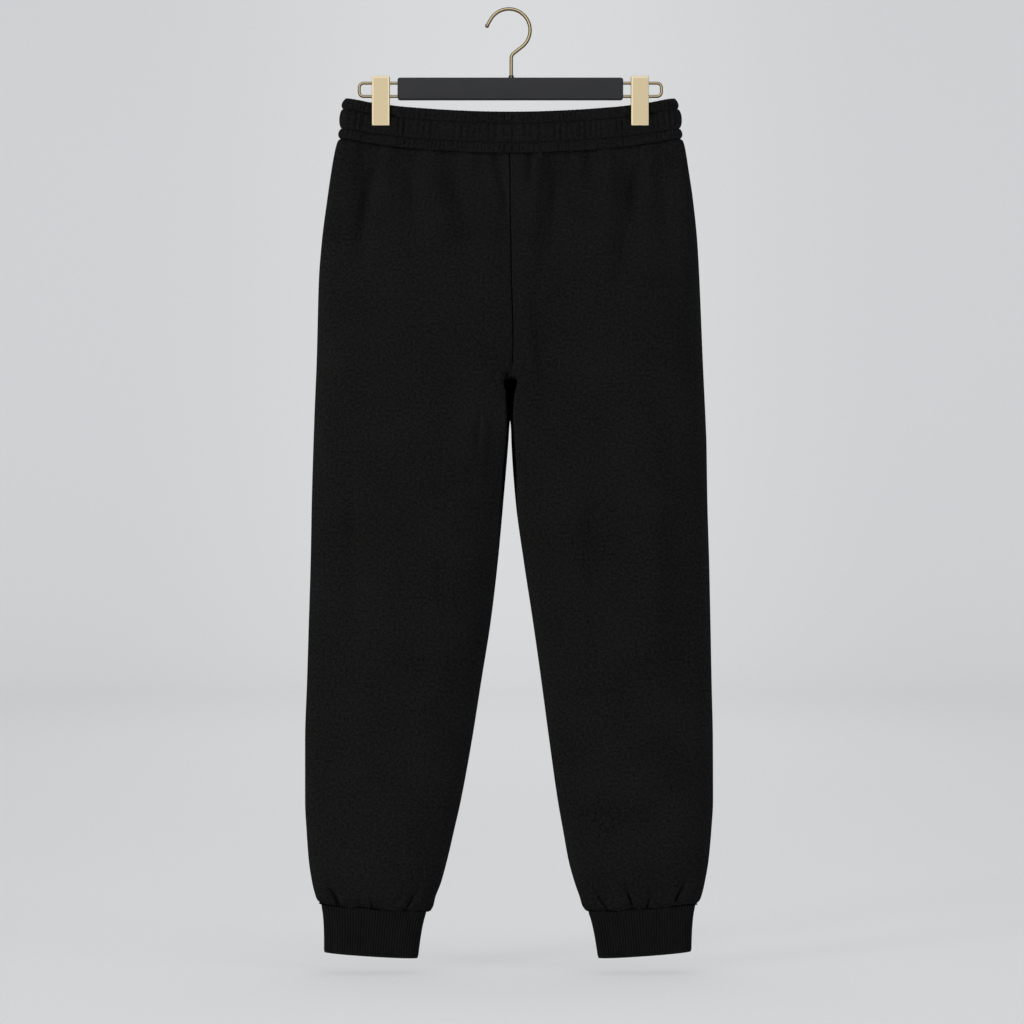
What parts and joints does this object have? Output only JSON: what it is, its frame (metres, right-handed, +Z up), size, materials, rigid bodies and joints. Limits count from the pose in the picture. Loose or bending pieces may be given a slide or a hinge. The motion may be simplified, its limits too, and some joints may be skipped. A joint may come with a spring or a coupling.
{
  "type": "jogger sweatpants on a clip hanger",
  "caption": "Fleece jogger sweatpants with a shirred elastic waistband and rib cuffs, hung from a slim bar hanger by two brass clips.",
  "frame": {"origin": "top of the inside of the hook, where a rail carries it", "axes": "+Z up along the garment's length, -Y out of the garment's back, +X towards the wearer's right leg"},
  "size_m": [0.4886, 0.1044, 1.1393],
  "materials": {
    "fleece": "matte black brushed-back fleece",
    "rib": "matte black rib knit",
    "brass": "pale satin brass",
    "bar": "matte charcoal",
    "collar": "blackened"
  },
  "bodies": {
    "root": {"trouser_back_left": "fleece", "trouser_back_right": "fleece", "trouser_front_left": "fleece", "trouser_front_right": "fleece", "waistband": "fleece", "cuff_left": "rib", "cuff_right": "rib", "hanger_bar": "bar", "hanger_hook": "brass", "hook_collar": "collar", "hanger_loop_left": "brass", "hanger_loop_right": "brass", "clip_left": "brass", "clip_right": "brass"}
  },
  "joints": []
}
